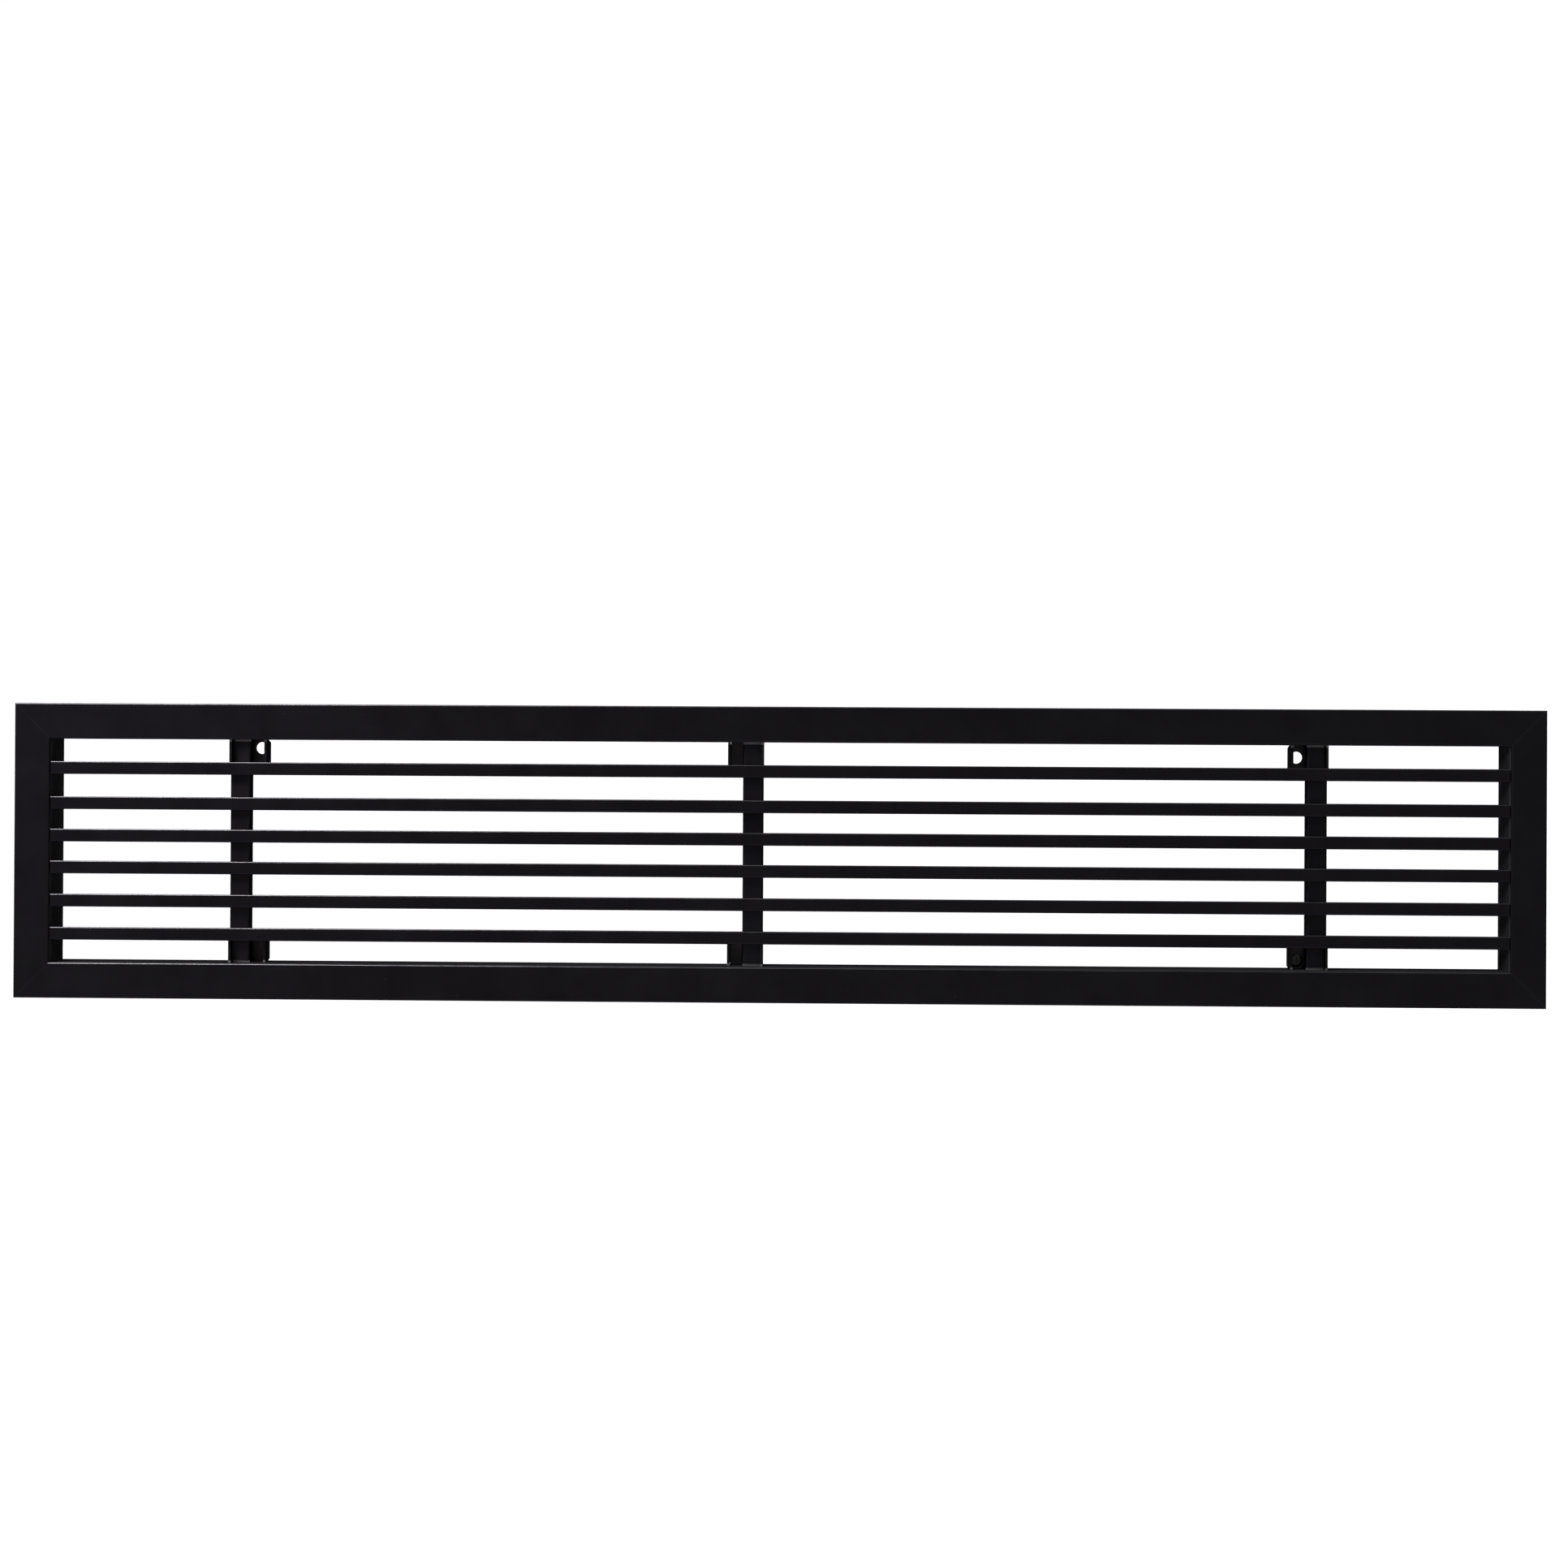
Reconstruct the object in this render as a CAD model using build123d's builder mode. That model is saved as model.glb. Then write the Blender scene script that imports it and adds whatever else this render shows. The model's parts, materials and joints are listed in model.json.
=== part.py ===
from build123d import *
import os

# A black linear bar register for a wall or ceiling duct.
# X runs along the grille, Y points into the wall and Z is up. The origin is the
# centre of the opening, in the wall plane that the frame's rim rests on.

# Frame, measured from the front of its face
overall_length = 620.0
overall_height = 120.0
face_width = 14.4
face_thickness = 1.6
rim_depth = 3.2
rim_thickness = 1.2
neck_depth = 25.8
neck_wall = 1.4
face_arris = 0.6
neck_edge_bevel = 0.4

# Corner keys behind the mitres
key_width = 6.0
key_thickness = 1.2
key_leg = 26.0
key_tip_bevel = 1.0
key_clearance = 0.1
track_lip = 1.0

# Bars, T-shaped in section, numbered from the top
bar_count = 6
bar_pitch = 13.48
bar_face = 5.2
bar_face_thickness = 1.6
bar_depth = 12.7
bar_stem = 1.6
bar_arris = 0.5
bar_setback = 0.2
bar_end_clearance = 0.4
bar_drop = {2: 0.8, 3: 0.5}

# Uprights behind the bars, folded channels with a notch for each bar
mullion_width = 8.4
mullion_depth = 5.5
mullion_sheet = 1.0
mullion_bend = 0.9
mullion_setback = 10.5
mullion_end_distance = 76.3
mullion_centre_offset = -9.5
notch_clearance = 0.05

# Clips that carry the uprights' ends
clip_width = 14.6
clip_sheet = 1.0
clip_bend = 0.5
clip_lap = 3.6
clip_back_setback = 3.0
clip_ear_setback = 0.7
clip_fit = 0.1
clip_stem_clearance = 0.3
clip_corner_radius = 1.2
clip_tab_setback = 1.0
clip_end_cut_depth = 6.5
clip_end_cut_height = 1.2
tab_relief = 0.4

# Fixing holes and the screw in one lower ear
fixing_hole_diameter = 4.9
screw_hole_diameter = 3.4
hole_side_margin = 0.15
hole_inset_near = 3.4
hole_inset_far = 5.0
screw_diameter = 3.0
screw_length = 9.5
screw_point = 1.6
screw_tip_radius = 0.05
screw_head_diameter = 5.2
screw_head_height = 2.0
screw_head_bevel = 0.7
recess_length = 2.8
recess_width = 0.7
recess_depth = 1.1

# Rivets through the clips' tabs and the neck
rivet_diameter = 2.4
rivet_clearance = 0.05
rivet_head_diameter = 4.6
rivet_head_height = 0.9
rivet_tail_diameter = 3.8
rivet_tail_height = 0.8
rivet_bevel = 0.3

# Places that follow from the sizes above
face_y = -rim_depth
opening_length = overall_length - 2 * face_width
opening_height = overall_height - 2 * face_width
half_opening = opening_height / 2
mullion_front_y = face_y + mullion_setback
mullion_back_y = mullion_front_y + mullion_depth
clip_back_y = face_y + neck_depth - clip_back_setback
clip_web_y = clip_back_y - clip_sheet
bar_front_y = face_y + bar_setback
bar_back_y = bar_front_y + bar_depth
bar_z = {
    number: bar_pitch * ((bar_count + 1) / 2 - number) - bar_drop.get(number, 0.0)
    for number in range(1, bar_count + 1)
}
side_mullion_x = opening_length / 2 - mullion_end_distance
# The ear is on the right of the left upright and on the left of the others
mullions = {
    "left": (-side_mullion_x, 1),
    "centre": (mullion_centre_offset, -1),
    "right": (side_mullion_x, -1),
}
ends = {"top": 1, "bottom": -1}
rivet_y = (mullion_back_y + clip_web_y) / 2
tab_front_y = mullion_front_y + clip_tab_setback
tab_width = mullion_width - clip_sheet - tab_relief

os.makedirs("parts", exist_ok=True)


def save(part, name):
    """Label a finished piece and write its file."""
    part.label = name
    export_step(part, f"parts/{name}.step")


def clip_length(end):
    """Length of a clip from the neck to just short of the nearest bar's stem."""
    nearest = bar_z[1] if end == 1 else -bar_z[bar_count]
    return half_opening - nearest - bar_stem / 2 - clip_stem_clearance


def tab_centre_x(place, ear_side):
    """Middle of a clip's tab, between its long flange and the ear."""
    return place + ear_side * clip_sheet / 2


def ear_hole_x(place, ear_side):
    """Middle of an ear's hole, just far enough out for a screw to pass the upright."""
    return place + ear_side * (mullion_width / 2 + hole_side_margin + fixing_hole_diameter / 2)


# Frame lengths


def frame_length(name, outward, edge_distance, inside_length, rivet_places):
    """One mitred length of the frame's section, outward being away from the opening."""
    along = outward.cross(Vector(0, 1, 0))
    corner = outward * edge_distance + Vector(0, face_y, 0)
    lip_inner = neck_wall + key_width + 2 * key_clearance
    lip_outer = lip_inner + track_lip
    rim_inner = face_width - rim_thickness
    with BuildPart() as length:
        with BuildSketch(Plane(origin=corner, x_dir=outward, z_dir=along)) as section:
            with BuildLine():
                Polyline(
                    (0, 0),
                    (face_width, 0),
                    (face_width, rim_depth),
                    (rim_inner, rim_depth),
                    (rim_inner, face_thickness),
                    (lip_outer, face_thickness),
                    (lip_outer, rim_depth),
                    (lip_inner, rim_depth),
                    (lip_inner, face_thickness),
                    (neck_wall, face_thickness),
                    (neck_wall, neck_depth),
                    (0, neck_depth),
                    close=True,
                )
            make_face()
            corners = section.vertices().group_by(Axis.Y)
            fillet(corners[0], radius=face_arris)
            chamfer(corners[-1], length=neck_edge_bevel)
        extrude(amount=inside_length / 2 + face_width, both=True)
        for side in (1, -1):
            mitre = along * side - outward
            edge = corner + along * (side * inside_length / 2)
            split(bisect_by=Plane(origin=edge, z_dir=mitre), keep=Keep.BOTTOM)
        for place in rivet_places:
            hole_start = Vector(place, rivet_y, 0) + outward * (edge_distance + neck_wall)
            with Locations(Plane(origin=hole_start, z_dir=outward)):
                Hole(radius=rivet_diameter / 2 + rivet_clearance, depth=2 * neck_wall)
    save(length.part, name)


rivet_columns = [tab_centre_x(place, ear_side) for place, ear_side in mullions.values()]
frame_length("frame_top", Vector(0, 0, 1), half_opening, opening_length, rivet_columns)
frame_length("frame_bottom", Vector(0, 0, -1), half_opening, opening_length, rivet_columns)
frame_length("frame_left", Vector(-1, 0, 0), opening_length / 2, opening_height, [])
frame_length("frame_right", Vector(1, 0, 0), opening_length / 2, opening_height, [])


# Corner keys


def corner_key(name, side_x, side_z):
    """A flat L-shaped key in the track behind one mitred corner."""
    key_inner = neck_wall + key_clearance
    key_outer = key_inner + key_width
    corner_x = side_x * opening_length / 2
    corner_z = side_z * half_opening
    # On this plane the local x and y axes point out of the opening at the corner
    key_plane = Plane(
        origin=(corner_x, face_y + face_thickness, corner_z),
        x_dir=(side_x, 0, 0),
        z_dir=(0, -side_x * side_z, 0),
    )
    with BuildPart() as key:
        with BuildSketch(key_plane) as outline:
            with BuildLine():
                Polyline(
                    (key_outer, key_outer),
                    (key_outer, key_outer - key_leg),
                    (key_inner, key_outer - key_leg),
                    (key_inner, key_inner),
                    (key_outer - key_leg, key_inner),
                    (key_outer - key_leg, key_outer),
                    close=True,
                )
            make_face()
            tips = outline.vertices().sort_by(Axis.X)[:2] + outline.vertices().sort_by(Axis.Y)[:2]
            chamfer(tips, length=key_tip_bevel)
        extrude(amount=-side_x * side_z * key_thickness)
    save(key.part, name)


for end_name, side_z in ends.items():
    corner_key(f"corner_key_{end_name}_left", -1, side_z)
    corner_key(f"corner_key_{end_name}_right", 1, side_z)


# Bars

bar_length = opening_length - 2 * bar_end_clearance
for number, height in bar_z.items():
    with BuildPart() as bar:
        with BuildSketch(Plane.YZ.offset(-bar_length / 2)) as section:
            with BuildLine():
                Polyline(
                    (bar_front_y, height - bar_face / 2),
                    (bar_front_y, height + bar_face / 2),
                    (bar_front_y + bar_face_thickness, height + bar_face / 2),
                    (bar_front_y + bar_face_thickness, height + bar_stem / 2),
                    (bar_back_y, height + bar_stem / 2),
                    (bar_back_y, height - bar_stem / 2),
                    (bar_front_y + bar_face_thickness, height - bar_stem / 2),
                    (bar_front_y + bar_face_thickness, height - bar_face / 2),
                    close=True,
                )
            make_face()
            fillet(section.vertices().group_by(Axis.X)[0], radius=bar_arris)
        extrude(amount=bar_length)
    save(bar.part, f"bar_{number}")


# Uprights


def mullion(name, place, ear_side):
    """A channel open to the back, notched for the stems and narrowed beside each clip's long flange."""
    outer_side = place - ear_side * mullion_width / 2
    mullion_half = half_opening - clip_sheet
    notch_height = bar_stem + 2 * notch_clearance
    with BuildPart() as upright:
        with BuildSketch(Plane.XY.offset(-mullion_half)) as section:
            with Locations((place, mullion_front_y)):
                Rectangle(mullion_width, mullion_depth, align=(Align.CENTER, Align.MIN))
            fillet(section.vertices().group_by(Axis.Y)[0], radius=mullion_bend)
            with Locations((place, mullion_front_y + mullion_sheet)):
                Rectangle(
                    mullion_width - 2 * mullion_sheet,
                    mullion_depth,
                    align=(Align.CENTER, Align.MIN),
                    mode=Mode.SUBTRACT,
                )
        extrude(amount=2 * mullion_half)
        for height in bar_z.values():
            with Locations((place, mullion_front_y, height)):
                Box(
                    2 * mullion_width,
                    2 * (bar_back_y - mullion_front_y),
                    notch_height,
                    mode=Mode.SUBTRACT,
                )
        for end, nearest in ((1, bar_z[1]), (-1, bar_z[bar_count])):
            with Locations((outer_side, mullion_front_y, (end * half_opening + nearest) / 2)):
                Box(
                    2 * (clip_sheet + clip_fit),
                    2 * mullion_depth + mullion_sheet,
                    abs(end * half_opening - nearest),
                    mode=Mode.SUBTRACT,
                )
    save(upright.part, name)


for place_name, (place, ear_side) in mullions.items():
    mullion(f"mullion_{place_name}", place, ear_side)


# Clips


def clip(name, place, ear_side, end, hole_diameter, inset):
    """A folded clip: a web at the back, a long flange, an ear with a short flange, and a tab on the neck."""
    length = clip_length(end)
    neck_z = end * half_opening
    inner_z = neck_z - end * length
    long_side = place - ear_side * mullion_width / 2
    ear_edge = long_side + ear_side * clip_width
    long_front_y = mullion_front_y - clip_lap
    ear_front_y = mullion_front_y + clip_ear_setback
    # The section is drawn with local x from the long flange towards the ear, and local y into the wall
    section_plane = Plane(origin=(long_side, 0, inner_z), x_dir=(ear_side, 0, 0), z_dir=(0, 0, ear_side))
    with BuildPart() as body:
        with BuildSketch(section_plane) as section:
            with BuildLine():
                Polyline(
                    (0, long_front_y),
                    (0, clip_back_y),
                    (clip_width, clip_back_y),
                    (clip_width, ear_front_y),
                    (clip_width - clip_sheet, ear_front_y),
                    (clip_width - clip_sheet, clip_web_y),
                    (clip_sheet, clip_web_y),
                    (clip_sheet, long_front_y),
                    close=True,
                )
            make_face()
            fillet(section.vertices().group_by(Axis.Y)[-1], radius=clip_bend)
        extrude(amount=ear_side * end * length)
        front_corner = body.edges().filter_by(Axis.X).sort_by(Axis.Y)[:4].sort_by(Axis.Z)
        inner_corners = front_corner[:2] if end == 1 else front_corner[-2:]
        fillet(inner_corners, radius=clip_corner_radius)
        with Locations((tab_centre_x(place, ear_side), tab_front_y, neck_z)):
            Box(
                tab_width,
                clip_web_y - tab_front_y,
                clip_sheet,
                align=(Align.CENTER, Align.MIN, Align.MAX if end == 1 else Align.MIN),
            )
        with BuildSketch(Plane.YZ.offset(ear_edge)):
            with BuildLine():
                Polyline(
                    (clip_back_y, neck_z),
                    (clip_back_y - clip_end_cut_depth, neck_z),
                    (clip_back_y, neck_z - end * clip_end_cut_height),
                    close=True,
                )
            make_face()
        extrude(amount=-ear_side * clip_sheet, mode=Mode.SUBTRACT)
        if hole_diameter:
            hole_centre = Vector(ear_hole_x(place, ear_side), clip_back_y, neck_z - end * inset)
            with Locations(Plane(origin=hole_centre, z_dir=(0, 1, 0))):
                Hole(radius=hole_diameter / 2, depth=2 * clip_sheet)
        rivet_centre = Vector(tab_centre_x(place, ear_side), rivet_y, neck_z)
        with Locations(Plane(origin=rivet_centre, z_dir=(0, 0, end))):
            Hole(radius=rivet_diameter / 2 + rivet_clearance, depth=2 * clip_sheet)
    save(body.part, name)


ear_holes = {
    ("left", "top"): (fixing_hole_diameter, hole_inset_near),
    ("right", "top"): (fixing_hole_diameter, hole_inset_far),
    ("right", "bottom"): (screw_hole_diameter, hole_inset_near),
}
for place_name, (place, ear_side) in mullions.items():
    for end_name, end in ends.items():
        hole_diameter, inset = ear_holes.get((place_name, end_name), (0.0, 0.0))
        clip(f"clip_{place_name}_{end_name}", place, ear_side, end, hole_diameter, inset)


# Rivets, drawn at the neck's outer face with local z pointing away from the opening

rivet_grip = neck_wall + clip_sheet
with BuildPart() as rivets:
    for end in ends.values():
        for column in rivet_columns:
            seat = Vector(column, rivet_y, end * (half_opening + neck_wall))
            rivet_plane = Plane(origin=seat, x_dir=(1, 0, 0), z_dir=(0, 0, end))
            with BuildSketch(rivet_plane):
                Circle(rivet_head_diameter / 2)
            extrude(amount=rivet_head_height)
            with BuildSketch(rivet_plane.offset(-rivet_grip)):
                Circle(rivet_diameter / 2)
            extrude(amount=rivet_grip)
            with BuildSketch(rivet_plane.offset(-rivet_grip - rivet_tail_height)):
                Circle(rivet_tail_diameter / 2)
            extrude(amount=rivet_tail_height)
    head_rims = rivets.edges().filter_by(GeomType.CIRCLE).group_by(Axis.Z)
    chamfer(head_rims[0] + head_rims[-1], length=rivet_bevel)
save(rivets.part, "clip_rivets")


# Screw in the lower right ear, head towards the room

with BuildPart() as screw:
    place, ear_side = mullions["right"]
    height = -half_opening + hole_inset_near
    seat = Vector(ear_hole_x(place, ear_side), clip_web_y, height)
    with BuildSketch(Plane(origin=seat, x_dir=(1, 0, 0), z_dir=(0, -1, 0))):
        Circle(screw_head_diameter / 2)
    extrude(amount=screw_head_height)
    with BuildSketch(Plane(origin=seat, x_dir=(1, 0, 0), z_dir=(0, 1, 0))):
        Circle(screw_diameter / 2)
    extrude(amount=screw_length)
    recess_floor = seat - Vector(0, screw_head_height - recess_depth, 0)
    with BuildSketch(Plane(origin=recess_floor, x_dir=(1, 0, 0), z_dir=(0, -1, 0))):
        Rectangle(recess_length, recess_width)
        Rectangle(recess_width, recess_length)
    extrude(amount=recess_depth, mode=Mode.SUBTRACT)
    circles = screw.edges().filter_by(GeomType.CIRCLE).group_by(Axis.Y)
    chamfer(circles[0], length=screw_head_bevel)
    chamfer(circles[-1], length=screw_point, length2=screw_diameter / 2 - screw_tip_radius)
save(screw.part, "fixing_screw")
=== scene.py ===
import json
import math

import bpy
import numpy as np
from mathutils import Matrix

# The look of a black linear bar register: satin black anodising on the frame and bars, duller
# black paint on the folded supports, in soft light from above and the left, on a white ground.
# Lengths and places are in metres.

MM = 0.001

# Camera at the photograph's place, with its turn in degrees and its lens in millimetres
CAMERA_PLACE = (0.0198, -1.35626, 0.036)
CAMERA_TURN = (90.34939, -0.3252, 1.50991)
CAMERA_LENS = 76.804
CAMERA_SHIFT = (0.0299, -0.02466)
SENSOR_WIDTH = 36.0

# Ground sweep: a floor that curves up into a wall
FLOOR_LEVEL = -0.62
FLOOR_FRONT = -6.0
WALL_PLACE = 4.0
WALL_TOP = 5.0
SWEEP_RADIUS = 1.5
SWEEP_HALF_WIDTH = 7.0
SWEEP_STEPS = 24

# Ground colour, and its glow behind and in front of the object
GROUND_TONE = 0.8
GROUND_MOTTLE = 0.02
MOTTLE_SCALE = 3.0
GROUND_GLOW = 0.62
FRONT_GLOW = 1.0
FRONT_FROM = -2.2
FRONT_TO = -0.9

# Lamps: the size is along and across, the power in watts
LAMPS = {
    "overhead_softbox": {
        "place": (-0.55, -0.3, 1.0),
        "target": (-0.2, 0.0, 0.0),
        "size": (0.7, 0.3),
        "power": 36.0,
        "tint": (1.0, 0.985, 1.0),
    },
    "front_left_softbox": {
        "place": (-1.15, -1.6, 0.85),
        "target": (-0.1, 0.0, 0.0),
        "size": (0.7, 0.7),
        "power": 45.0,
        "tint": (0.97, 0.96, 1.0),
    },
}
ROOM_TONE = (0.30, 0.295, 0.31)

# Mitre joints: the opening's inner corner, and the line that the joint leaves on the face
INNER_CORNER = (0.2956, 0.0456)
MITRE_WIDTH = 0.10 * MM
MITRE_STRENGTH = 0.2

# Cut edges of the clips' tabs: from this far above or below the middle, up to this depth
TAB_EDGE_FROM = 44.65 * MM
TAB_EDGE_TO = 8.6 * MM

# Depths into the wall where the coat turns dull and its colour is painted paler as painted light,
# and the stretch over which it does
INSIDE_FROM = -2.7 * MM
SUPPORT_INSIDE_FROM = 14.0 * MM
PAINTED_LIGHT_AND_DULLING_STRETCH = 0.5 * MM

# Pattern sizes, in lumps to the metre
CLOUD_SCALE = 14.0
PATCH_SCALE = 75.0
BLOTCH_SCALE = 220.0

# Relief of the finishes
ANODISED_GRAIN = 0.006 * MM
PAINT_GRAIN = 0.008 * MM
OXIDE_GRAIN = 0.004 * MM
PLATED_GRAIN = 0.01 * MM

NUMBER, COLOUR, VECTOR = "NodeSocketFloat", "NodeSocketColor", "NodeSocketVector"

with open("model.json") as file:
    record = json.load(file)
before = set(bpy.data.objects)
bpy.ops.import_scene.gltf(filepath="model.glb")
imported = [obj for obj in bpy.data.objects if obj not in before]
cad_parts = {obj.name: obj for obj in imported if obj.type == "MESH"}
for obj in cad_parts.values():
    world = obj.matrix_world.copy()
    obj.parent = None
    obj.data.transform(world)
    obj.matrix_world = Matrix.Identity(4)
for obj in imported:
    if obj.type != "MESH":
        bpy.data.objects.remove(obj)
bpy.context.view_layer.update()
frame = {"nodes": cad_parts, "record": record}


# Node helpers


def put(tree, socket, value):
    """Join a socket to another one, or set it to a number or colour."""
    if isinstance(value, bpy.types.NodeSocket):
        tree.links.new(value, socket)
    elif value is not None:
        socket.default_value = value


def maths(tree, operation, *values):
    """One step of arithmetic on sockets or numbers."""
    step = tree.nodes.new("ShaderNodeMath")
    step.operation = operation
    for socket, value in zip(step.inputs, values):
        put(tree, socket, value)
    return step.outputs[0]


def blend_colour(tree, share, first, second):
    """The first colour at share 0 and the second at share 1."""
    mix = tree.nodes.new("ShaderNodeMix")
    mix.data_type = "RGBA"
    put(tree, mix.inputs["Factor"], share)
    put(tree, mix.inputs[6], first)
    put(tree, mix.inputs[7], second)
    return mix.outputs[2]


def remap(tree, value, low, high, to_low, to_high):
    """A value that runs from low to high, moved to run from to_low to to_high and held there."""
    step = tree.nodes.new("ShaderNodeMapRange")
    for name, number in (
        ("Value", value),
        ("From Min", low),
        ("From Max", high),
        ("To Min", to_low),
        ("To Max", to_high),
    ):
        put(tree, step.inputs[name], number)
    return step.outputs["Result"]


def noise(tree, place, scale, detail, rough=0.5):
    """Soft random values from 0 to 1, scale lumps to the metre."""
    step = tree.nodes.new("ShaderNodeTexNoise")
    put(tree, step.inputs["Vector"], place)
    put(tree, step.inputs["Scale"], scale)
    put(tree, step.inputs["Detail"], detail)
    put(tree, step.inputs["Roughness"], rough)
    return step.outputs["Fac"]


def parts_of(tree, vector):
    """The X, Y and Z parts of a vector."""
    step = tree.nodes.new("ShaderNodeSeparateXYZ")
    put(tree, step.inputs["Vector"], vector)
    return [step.outputs[axis] for axis in "XYZ"]


def opaque(red, green=None, blue=None):
    """A colour with full alpha from three linear values, or a grey from one."""
    return (red, red if green is None else green, red if blue is None else blue, 1.0)


# Effects that several materials share, each as a node group


def new_group(name, inputs, outputs):
    """An empty shader node group with its named sockets."""
    tree = bpy.data.node_groups.new(name, "ShaderNodeTree")
    for socket_name, kind, value in inputs:
        socket = tree.interface.new_socket(name=socket_name, in_out="INPUT", socket_type=kind)
        if value is not None:
            socket.default_value = value
    for socket_name, kind in outputs:
        tree.interface.new_socket(name=socket_name, in_out="OUTPUT", socket_type=kind)
    entry = tree.nodes.new("NodeGroupInput")
    leave = tree.nodes.new("NodeGroupOutput")
    return tree, entry.outputs, leave.inputs


def make_coat_group():
    """Black coat: broad clouds of tone, a fine grain, a paler tone where asked for, for bare marks
    and for a painted highlight, a duller inside painted paler as painted light, and a few specks of
    dust."""
    tree, given, result = new_group(
        "black_coat",
        [
            ("Place", VECTOR, None),
            ("Tone", COLOUR, opaque(0.01)),
            ("Pale Tone", COLOUR, opaque(0.02)),
            ("Dust Tone", COLOUR, opaque(0.06)),
            ("Worn Tone", COLOUR, opaque(0.05, 0.049, 0.051)),
            ("Wear", NUMBER, 0.0),
            ("Speck Share", NUMBER, 1.0),
            ("Inside", NUMBER, 0.0),
            ("Inside Tone", COLOUR, opaque(0.02)),
            ("Inside Satin", NUMBER, 1.0),
            ("Satin", NUMBER, 0.3),
            ("Satin Spread", NUMBER, 0.06),
            ("Speck Dulling", NUMBER, 0.3),
            ("Peel Scale", NUMBER, 1100.0),
            ("Dust Scale", NUMBER, 110.0),
            ("Dust Radius", NUMBER, 0.012),
        ],
        [("Colour", COLOUR), ("Roughness", NUMBER), ("Height", NUMBER)],
    )
    place = given["Place"]
    cloud = noise(tree, place, CLOUD_SCALE, 3.0, 0.55)
    patch = noise(tree, place, PATCH_SCALE, 4.0, 0.6)
    peel = noise(tree, place, given["Peel Scale"], 2.0)

    dust = tree.nodes.new("ShaderNodeTexVoronoi")
    put(tree, dust.inputs["Vector"], place)
    put(tree, dust.inputs["Scale"], given["Dust Scale"])
    near_dust = maths(tree, "LESS_THAN", dust.outputs["Distance"], given["Dust Radius"])
    speck = maths(tree, "MULTIPLY", near_dust, given["Speck Share"])

    clouds = remap(tree, maths(tree, "ADD", cloud, patch), 0.75, 1.25, 0.0, 1.0)
    uneven = remap(tree, patch, 0.3, 0.7, 0.5, 1.0)
    coated = blend_colour(tree, clouds, given["Tone"], given["Pale Tone"])
    # Deep inside, the colour is painted paler: painted light in the recess, beside a duller coat
    with_painted_inside_light = blend_colour(tree, given["Inside"], coated, given["Inside Tone"])
    # Paler tone: real wear on joint lines and cut edges, and a painted highlight on the upper
    # arrises
    highlight_and_wear_share = maths(tree, "MULTIPLY", given["Wear"], uneven)
    worn = blend_colour(tree, highlight_and_wear_share, with_painted_inside_light, given["Worn Tone"])
    put(tree, result["Colour"], blend_colour(tree, speck, worn, given["Dust Tone"]))

    off_middle = maths(tree, "SUBTRACT", patch, 0.5)
    spread = maths(tree, "MULTIPLY", off_middle, given["Satin Spread"])
    satin = maths(tree, "ADD", given["Satin"], spread)
    dusted = maths(tree, "ADD", satin, maths(tree, "MULTIPLY", speck, given["Speck Dulling"]))
    roughness = remap(tree, given["Inside"], 0.0, 1.0, dusted, given["Inside Satin"])
    put(tree, result["Roughness"], roughness)
    put(tree, result["Height"], peel)
    return tree


def make_arris_group():
    """Where a surface faces up and to the room at once, a highlight is painted on its coat: twice
    the product of both parts of its direction, which is 1 at 45 degrees. Flat fronts are marked
    apart."""
    tree, given, result = new_group(
        "upper_arris_painted_highlight",
        [
            ("Facing", VECTOR, None),
            ("Wear From", NUMBER, 0.5),
            ("Wear To", NUMBER, 0.9),
            ("Front From", NUMBER, -0.98),
            ("Front To", NUMBER, -0.9),
        ],
        [("Wear", NUMBER), ("Flat Front", NUMBER)],
    )
    _, into_wall, up = parts_of(tree, given["Facing"])
    to_room = maths(tree, "MAXIMUM", maths(tree, "MULTIPLY", into_wall, -2.0), 0.0)
    both = maths(tree, "MULTIPLY", to_room, up)
    put(tree, result["Wear"], remap(tree, both, given["Wear From"], given["Wear To"], 0.0, 1.0))
    flat_front = remap(tree, into_wall, given["Front From"], given["Front To"], 1.0, 0.0)
    put(tree, result["Flat Front"], flat_front)
    return tree


def make_metal_group():
    """Plated metal: streaks along X, duller blotches and a fine relief."""
    tree, given, result = new_group(
        "plated_metal",
        [
            ("Place", VECTOR, None),
            ("Tone", COLOUR, opaque(0.5)),
            ("Dull Tone", COLOUR, opaque(0.3)),
            ("Polish", NUMBER, 0.3),
            ("Dulling", NUMBER, 0.18),
            ("Streak Scale", NUMBER, 900.0),
            ("Streak Stretch", VECTOR, (0.06, 1.0, 1.0)),
        ],
        [("Colour", COLOUR), ("Roughness", NUMBER), ("Height", NUMBER)],
    )
    stretch = tree.nodes.new("ShaderNodeMapping")
    put(tree, stretch.inputs["Vector"], given["Place"])
    put(tree, stretch.inputs["Scale"], given["Streak Stretch"])
    streak = noise(tree, stretch.outputs["Vector"], given["Streak Scale"], 3.0)
    blotch = noise(tree, given["Place"], BLOTCH_SCALE, 4.0, 0.6)
    share = remap(tree, maths(tree, "ADD", streak, blotch), 0.7, 1.3, 0.0, 1.0)
    put(tree, result["Colour"], blend_colour(tree, share, given["Tone"], given["Dull Tone"]))
    dulling = maths(tree, "MULTIPLY", share, given["Dulling"])
    put(tree, result["Roughness"], maths(tree, "ADD", given["Polish"], dulling))
    put(tree, result["Height"], streak)
    return tree


coat_group = make_coat_group()
arris_highlight_group = make_arris_group()
metal_group = make_metal_group()


# Materials


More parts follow.
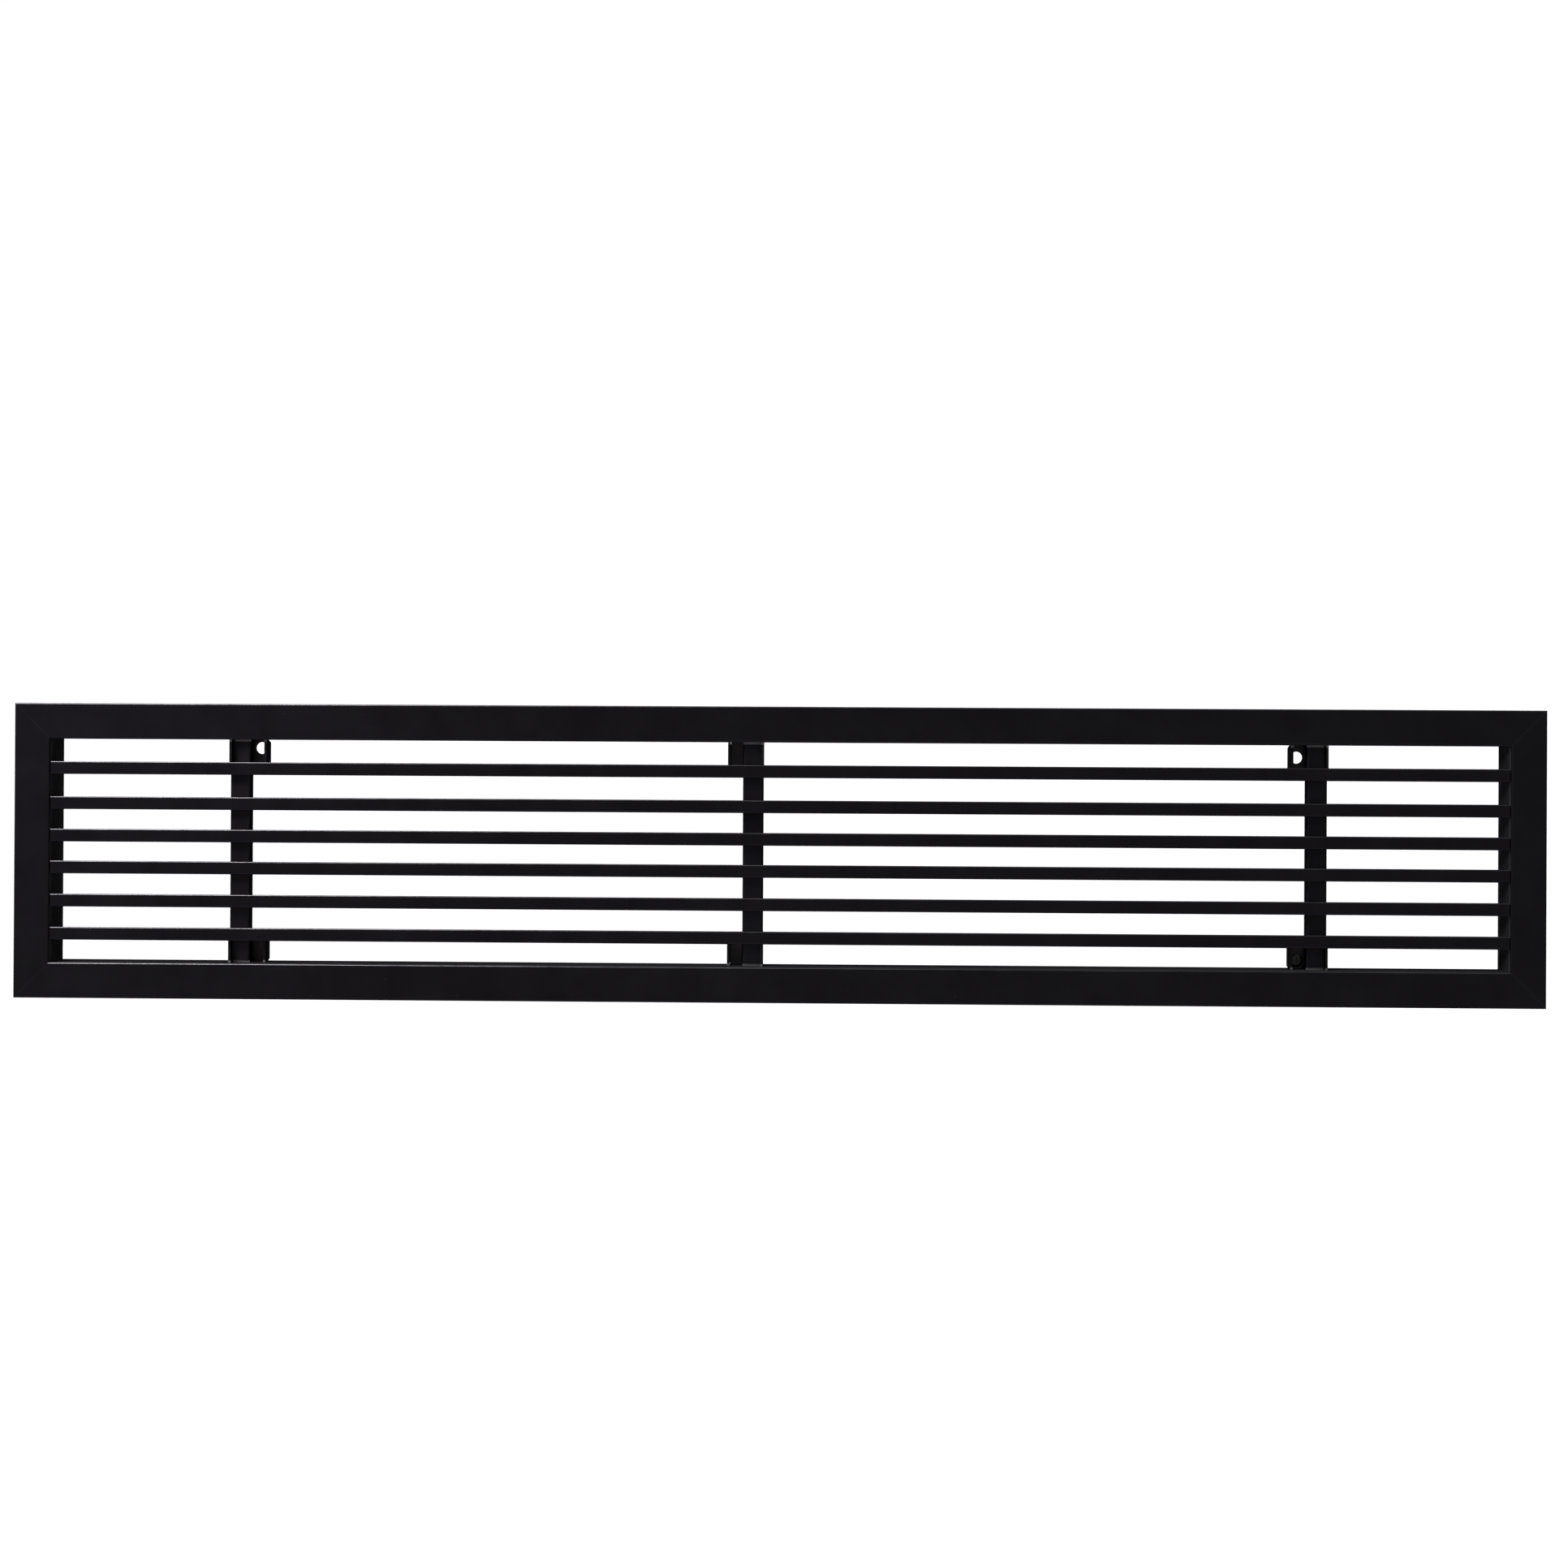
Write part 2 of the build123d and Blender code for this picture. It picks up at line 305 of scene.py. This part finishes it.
def start_material(name):
    """A new material with its shader and the coordinates of its object."""
    material = bpy.data.materials.new(name)
    material.use_nodes = True
    tree = material.node_tree
    shader = tree.nodes["Principled BSDF"]
    coordinates = tree.nodes.new("ShaderNodeTexCoord").outputs
    return material, tree, shader, coordinates


def add_group(tree, group, **values):
    """A group placed in a material with its own values, their names written with underscores."""
    step = tree.nodes.new("ShaderNodeGroup")
    step.node_tree = group
    for name, value in values.items():
        put(tree, step.inputs[name.replace("_", " ").title()], value)
    return step


def finish_metal(tree, shader, finish, grain_height):
    """The shader takes a group's colour, roughness and relief as those of a metal."""
    put(tree, shader.inputs["Base Color"], finish.outputs["Colour"])
    put(tree, shader.inputs["Roughness"], finish.outputs["Roughness"])
    put(tree, shader.inputs["Metallic"], 1.0)
    bump = tree.nodes.new("ShaderNodeBump")
    put(tree, bump.inputs["Strength"], 1.0)
    put(tree, bump.inputs["Distance"], grain_height)
    put(tree, bump.inputs["Height"], finish.outputs["Height"])
    put(tree, shader.inputs["Normal"], bump.outputs["Normal"])


def mitre_line(tree, along, depth, across):
    """Full strength in the fine lines that run from the opening's corners to the frame's, on its
    face: there, as far beyond the side of the opening as beyond its edge."""
    beyond_side = maths(tree, "SUBTRACT", maths(tree, "ABSOLUTE", along), INNER_CORNER[0])
    beyond_edge = maths(tree, "SUBTRACT", maths(tree, "ABSOLUTE", across), INNER_CORNER[1])
    offset = maths(tree, "ABSOLUTE", maths(tree, "SUBTRACT", beyond_side, beyond_edge))
    on_line = maths(tree, "LESS_THAN", offset, MITRE_WIDTH)
    on_face = maths(tree, "LESS_THAN", depth, INSIDE_FROM)
    return maths(tree, "MULTIPLY", maths(tree, "MULTIPLY", on_line, on_face), MITRE_STRENGTH)


def tab_edge(tree, along, depth, across):
    """1 on the cut front edges of the clips' tabs, which lie against the neck."""
    at_neck = maths(tree, "GREATER_THAN", maths(tree, "ABSOLUTE", across), TAB_EDGE_FROM)
    in_front = maths(tree, "LESS_THAN", depth, TAB_EDGE_TO)
    return maths(tree, "MULTIPLY", at_neck, in_front)


def coat_material(name, grain_height, edge_tint=0.0, painted_light_and_dull_from=None, also_worn=None, **values):
    """A dark metal under the black coat. Its upper arrises get a painted highlight, and the place
    that also_worn gives is marked in the same paler tone as real wear. What lies deeper than the
    depth given is duller, with its colour painted paler as painted light."""
    material, tree, shader, coordinates = start_material(name)
    place = coordinates["Object"]
    along, depth, across = parts_of(tree, place)
    # The upper arrises get a painted highlight in the paler tone
    arris = add_group(tree, arris_highlight_group, facing=coordinates["Normal"])
    wear = arris.outputs["Wear"]
    if also_worn is not None:
        wear = maths(tree, "MAXIMUM", wear, also_worn(tree, along, depth, across))
    inside = None
    # Deeper in, the coat turns duller and its colour is painted paler, as painted light
    if painted_light_and_dull_from is not None:
        inside = remap(tree, depth, painted_light_and_dull_from, painted_light_and_dull_from + PAINTED_LIGHT_AND_DULLING_STRETCH, 0.0, 1.0)
    # Specks stay off the rounded edges, where they would look like nicks
    coat = add_group(
        tree,
        coat_group,
        place=place,
        wear=wear,
        speck_share=arris.outputs["Flat Front"],
        inside=inside,
        **values,
    )
    put(tree, shader.inputs["Specular Tint"], opaque(edge_tint))
    finish_metal(tree, shader, coat, grain_height)
    return material


def metal_material(name, grain_height, **values):
    """A material of plated metal."""
    material, tree, shader, coordinates = start_material(name)
    metal = add_group(tree, metal_group, place=coordinates["Object"], **values)
    finish_metal(tree, shader, metal, grain_height)
    return material


finishes = {
    "frame_coat": coat_material(
        "frame_black_anodising",
        ANODISED_GRAIN,
        painted_light_and_dull_from=INSIDE_FROM,
        also_worn=mitre_line,
        tone=opaque(0.0056, 0.0051, 0.0063),
        pale_tone=opaque(0.0071, 0.0066, 0.0080),
        # The paler inside colour is painted light on the neck walls
        inside_tone=opaque(0.026, 0.025, 0.027),
    ),
    "bar_coat": coat_material(
        "bar_black_anodising",
        ANODISED_GRAIN,
        painted_light_and_dull_from=INSIDE_FROM,
        tone=opaque(0.0054, 0.0049, 0.0061),
        pale_tone=opaque(0.0069, 0.0063, 0.0077),
    ),
    "support_coat": coat_material(
        "support_black_paint",
        PAINT_GRAIN,
        painted_light_and_dull_from=SUPPORT_INSIDE_FROM,
        also_worn=tab_edge,
        tone=opaque(0.0060, 0.0055, 0.0062),
        pale_tone=opaque(0.0095, 0.0088, 0.0097),
        # The paler inside colour is painted light on the clips' webs
        inside_tone=opaque(0.034, 0.031, 0.034),
        # The paler tone marks bare cut edges and paints a highlight on the upper arrises
        worn_tone=opaque(0.11),
        satin=0.5,
        inside_satin=0.5,
    ),
    "rivet_metal": coat_material(
        "rivet_black_paint",
        ANODISED_GRAIN,
        edge_tint=0.1,
        tone=opaque(0.018),
        pale_tone=opaque(0.028),
        satin=0.5,
    ),
    "screw_black": coat_material(
        "screw_black_oxide",
        OXIDE_GRAIN,
        edge_tint=0.3,
        tone=opaque(0.030, 0.030, 0.028),
        pale_tone=opaque(0.045, 0.044, 0.041),
        satin=0.45,
    ),
    "key_zinc": metal_material(
        "key_zinc_plate",
        PLATED_GRAIN,
        tone=opaque(0.34, 0.345, 0.36),
        dull_tone=opaque(0.17, 0.175, 0.185),
        polish=0.32,
    ),
}

slot_of_node = {item["node"]: item["material_slot"] for item in frame["record"]["subparts"]}
for node_name, piece in frame["nodes"].items():
    piece.data.materials.clear()
    piece.data.materials.append(finishes[slot_of_node[node_name]])


# Ground


def ground_sweep():
    """A floor that rises into a wall: a profile of floor, quarter circle and wall in the Y Z plane,
    carried straight along X."""
    turn = np.linspace(0.0, np.pi / 2, SWEEP_STEPS)
    curve_y = WALL_PLACE - SWEEP_RADIUS + SWEEP_RADIUS * np.sin(turn)
    curve_z = FLOOR_LEVEL + SWEEP_RADIUS * (1 - np.cos(turn))
    profile_y = np.concatenate(([FLOOR_FRONT], curve_y, [WALL_PLACE]))
    profile_z = np.concatenate(([FLOOR_LEVEL], curve_z, [WALL_TOP]))
    count = len(profile_y)
    sides = np.repeat([-SWEEP_HALF_WIDTH, SWEEP_HALF_WIDTH], count)
    points = np.column_stack([sides, np.tile(profile_y, 2), np.tile(profile_z, 2)])
    first = np.arange(count - 1)
    faces = np.column_stack([first, first + count, first + count + 1, first + 1])
    mesh = bpy.data.meshes.new("ground_sweep")
    mesh.from_pydata(points.tolist(), [], faces.tolist())
    sweep = bpy.data.objects.new("ground_sweep", mesh)
    bpy.context.scene.collection.objects.link(sweep)
    return sweep


def shown_white(tree):
    """1 for the rays that show the ground: from the camera, in gloss and through glass."""
    path = tree.nodes.new("ShaderNodeLightPath").outputs
    seen = maths(tree, "MAXIMUM", path["Is Camera Ray"], path["Is Glossy Ray"])
    return maths(tree, "MAXIMUM", seen, path["Is Transmission Ray"])


def ground_material():
    """Pale matt ground that glows for the rays that show it, so it looks white and keeps its
    shadows. The lamps light its front less, so it glows more there."""
    material, tree, shader, coordinates = start_material("ground_white")
    place = coordinates["Object"]
    mottle = noise(tree, place, MOTTLE_SCALE, 2.0)
    shade = remap(tree, mottle, 0.0, 1.0, GROUND_TONE, GROUND_TONE + GROUND_MOTTLE)
    tint = tree.nodes.new("ShaderNodeCombineColor")
    for socket in tint.inputs[:3]:
        put(tree, socket, shade)
    put(tree, shader.inputs["Base Color"], tint.outputs["Color"])
    put(tree, shader.inputs["Roughness"], 0.9)
    put(tree, shader.inputs["Specular IOR Level"], 0.0)
    put(tree, shader.inputs["Emission Color"], opaque(1.0))
    _, depth, _ = parts_of(tree, place)
    glow = remap(tree, depth, FRONT_FROM, FRONT_TO, FRONT_GLOW, GROUND_GLOW)
    strength = maths(tree, "MULTIPLY", shown_white(tree), glow)
    put(tree, shader.inputs["Emission Strength"], strength)
    return material


sweep = ground_sweep()
sweep.data.materials.append(ground_material())


# Light


def turn_towards(place, target):
    """The turn of a lamp that stands at a place and shines towards its target."""
    right, forward, up = np.array(target) - np.array(place)
    return (math.atan2(math.hypot(right, forward), -up), 0.0, math.atan2(-right, forward))


for lamp_name, setting in LAMPS.items():
    light = bpy.data.lights.new(lamp_name, "AREA")
    light.shape = "RECTANGLE"
    light.size, light.size_y = setting["size"]
    light.energy = setting["power"]
    light.color = setting["tint"]
    lamp = bpy.data.objects.new(lamp_name, light)
    lamp.location = setting["place"]
    lamp.rotation_euler = turn_towards(setting["place"], setting["target"])
    bpy.context.scene.collection.objects.link(lamp)

world = bpy.data.worlds.new("studio")
world.use_nodes = True
bpy.context.scene.world = world
room = world.node_tree
room_colour = blend_colour(room, shown_white(room), opaque(*ROOM_TONE), opaque(1.0))
put(room, room.nodes["Background"].inputs["Color"], room_colour)


# Camera

camera_data = bpy.data.cameras.new("camera")
camera_data.sensor_width = SENSOR_WIDTH
camera_data.lens = CAMERA_LENS
camera_data.shift_x, camera_data.shift_y = CAMERA_SHIFT
camera = bpy.data.objects.new("camera", camera_data)
camera.location = CAMERA_PLACE
camera.rotation_euler = [math.radians(angle) for angle in CAMERA_TURN]
bpy.context.scene.collection.objects.link(camera)
bpy.context.scene.camera = camera
bpy.context.scene.view_settings.view_transform = "Standard"
